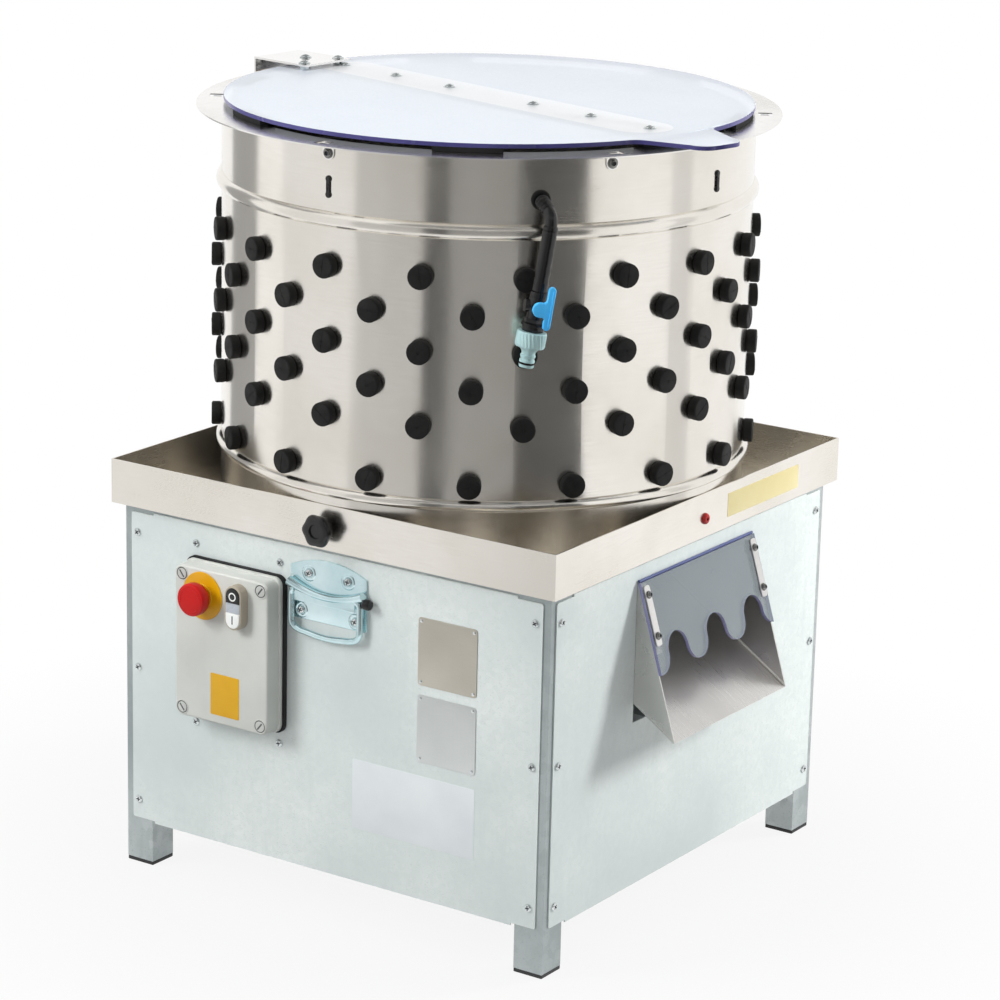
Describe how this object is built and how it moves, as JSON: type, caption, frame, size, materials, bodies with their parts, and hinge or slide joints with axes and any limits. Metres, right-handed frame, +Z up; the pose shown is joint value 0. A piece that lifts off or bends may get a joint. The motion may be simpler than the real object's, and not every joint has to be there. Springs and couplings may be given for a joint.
{
  "type": "poultry plucker",
  "caption": "Drum poultry plucker: rubber-fingered steel drum and rotor on a panelled base, hinged clear lid, water inlet, control box and feather chute.",
  "frame": {"origin": "floor level under the drum axis, midway between the four feet", "axes": "+Z up, -Y towards the control box side, +X towards the feather chute"},
  "size_m": [0.7633, 0.731, 0.9821],
  "materials": {
    "legs": "satin",
    "foot_caps": "matte",
    "frame_rails": "satin",
    "front_panel": "satin",
    "right_panel": "satin",
    "rear_panel": "satin",
    "left_panel": "satin",
    "panel_screws": "zinc",
    "tray": "brushed",
    "drum": "brushed",
    "top_flange": "brushed",
    "flange_bolts": "polished",
    "drum_fingers": "matte",
    "spray_ring": "matte",
    "ring_ties": "matte",
    "inlet_grommet": "matte",
    "inlet_elbow": "satin",
    "inlet_hose": "satin",
    "valve_body": "satin",
    "valve_lever": "gloss",
    "hose_connector": "satin",
    "control_box": "matte",
    "box_gasket": "matte",
    "box_cover": "matte",
    "box_screws": "matte",
    "estop_base": "satin",
    "estop_stem": "satin",
    "estop_head": "gloss",
    "button_bezel": "satin",
    "stop_button": "gloss",
    "start_button": "gloss",
    "name_plates": "satin",
    "handle_plates": "zinc",
    "front_bail": "zinc",
    "rear_bail": "zinc",
    "bail_stops": "matte",
    "tray_knob": "satin",
    "drum_screws": "gloss",
    "chute": "brushed",
    "chute_shield": "clear",
    "shield_bolts": "polished",
    "lid": "clear",
    "lid_strip": "satin",
    "lid_pads": "matte",
    "lid_bolts": "polished",
    "hinge_arm": "brushed",
    "hinge_bracket": "brushed",
    "hinge_pin": "polished",
    "rotor_plate": "brushed",
    "rotor_fingers": "matte",
    "rotor_hub": "machined",
    "main_shaft": "machined",
    "drive_pulley": "cast",
    "drive_belt": "matte",
    "motor": "painted",
    "motor_pulley": "machined",
    "mounting_plates": "satin",
    "bearing_housings": "painted",
    "bearings": "polished",
    "mains_gland": "satin"
  },
  "bodies": {
    "machine": {"legs": "legs", "foot_caps": "foot_caps", "frame_rails": "frame_rails", "front_panel": "front_panel", "right_panel": "right_panel", "rear_panel": "rear_panel", "left_panel": "left_panel", "panel_screws": "panel_screws", "tray": "tray", "drum": "drum", "top_flange": "top_flange", "flange_bolts": "flange_bolts", "drum_fingers": "drum_fingers", "spray_ring": "spray_ring", "ring_ties": "ring_ties", "inlet_grommet": "inlet_grommet", "inlet_elbow": "inlet_elbow", "inlet_hose": "inlet_hose", "valve_body": "valve_body", "hose_connector": "hose_connector", "control_box": "control_box", "box_gasket": "box_gasket", "box_cover": "box_cover", "box_screws": "box_screws", "estop_base": "estop_base", "button_bezel": "button_bezel", "name_plates": "name_plates", "handle_plates": "handle_plates", "bail_stops": "bail_stops", "drum_screws": "drum_screws", "chute": "chute", "chute_shield": "chute_shield", "shield_bolts": "shield_bolts", "hinge_bracket": "hinge_bracket", "hinge_pin": "hinge_pin", "drive_belt": "drive_belt", "motor": "motor", "mounting_plates": "mounting_plates", "bearing_housings": "bearing_housings", "bearings": "bearings", "mains_gland": "mains_gland"},
    "lid": {"lid": "lid", "lid_strip": "lid_strip", "lid_pads": "lid_pads", "lid_bolts": "lid_bolts", "hinge_arm": "hinge_arm"},
    "rotor": {"rotor_plate": "rotor_plate", "rotor_fingers": "rotor_fingers", "rotor_hub": "rotor_hub", "main_shaft": "main_shaft", "drive_pulley": "drive_pulley"},
    "motor_rotor": {"motor_pulley": "motor_pulley"},
    "valve_lever": {"valve_lever": "valve_lever"},
    "tray_knob": {"tray_knob": "tray_knob"},
    "front_bail": {"front_bail": "front_bail"},
    "rear_bail": {"rear_bail": "rear_bail"},
    "estop_stem": {"estop_stem": "estop_stem"},
    "estop_head": {"estop_head": "estop_head"},
    "stop_button": {"stop_button": "stop_button"},
    "start_button": {"start_button": "start_button"}
  },
  "joints": [
    {"name": "lid_hinge", "type": "hinge", "parent": "machine", "child": "lid", "pos_m": [-0.3593, 0.04412, 0.93], "axis": [-0.1219, -0.9925, 0], "range_deg": [0, 100]},
    {"name": "rotor_spin", "type": "hinge", "parent": "machine", "child": "rotor", "pos_m": [0, 0, 0.5], "axis": [0, 0, 1], "continuous": true},
    {"name": "motor_spin", "type": "hinge", "parent": "machine", "child": "motor_rotor", "pos_m": [-0.19, 0.215, 0.15], "axis": [0, 0, 1], "continuous": true},
    {"name": "valve_turn", "type": "hinge", "parent": "machine", "child": "valve_lever", "pos_m": [0.2452, -0.25614, 0.7902], "axis": [0.7071, -0.7071, 0], "range_deg": [0, 90]},
    {"name": "knob_turn", "type": "hinge", "parent": "machine", "child": "tray_knob", "pos_m": [0, -0.337, 0.4975], "axis": [0, -1, 0], "continuous": true},
    {"name": "front_bail_swing", "type": "hinge", "parent": "machine", "child": "front_bail", "pos_m": [0, -0.324, 0.414], "axis": [-1, 0, 0], "range_deg": [0, 90]},
    {"name": "rear_bail_swing", "type": "hinge", "parent": "machine", "child": "rear_bail", "pos_m": [0, 0.324, 0.414], "axis": [1, 0, 0], "range_deg": [0, 90]},
    {"name": "estop_push", "type": "slide", "parent": "machine", "child": "estop_stem", "axis": [0, 1, 0], "range_m": [0, 0.005], "stiffness_N_per_m": 2000},
    {"name": "estop_twist", "type": "hinge", "parent": "estop_stem", "child": "estop_head", "pos_m": [-0.166, -0.37, 0.387], "axis": [0, 1, 0], "range_deg": [0, 45], "stiffness_Nm_per_rad": 0.05},
    {"name": "stop_push", "type": "slide", "parent": "machine", "child": "stop_button", "axis": [0, 1, 0], "range_m": [0, 0.003], "stiffness_N_per_m": 1500},
    {"name": "start_push", "type": "slide", "parent": "machine", "child": "start_button", "axis": [0, 1, 0], "range_m": [0, 0.003], "stiffness_N_per_m": 1500}
  ],
  "couplings": [
    {"joint": "motor_spin", "follows": "rotor_spin", "ratio": 4.6458}
  ]
}
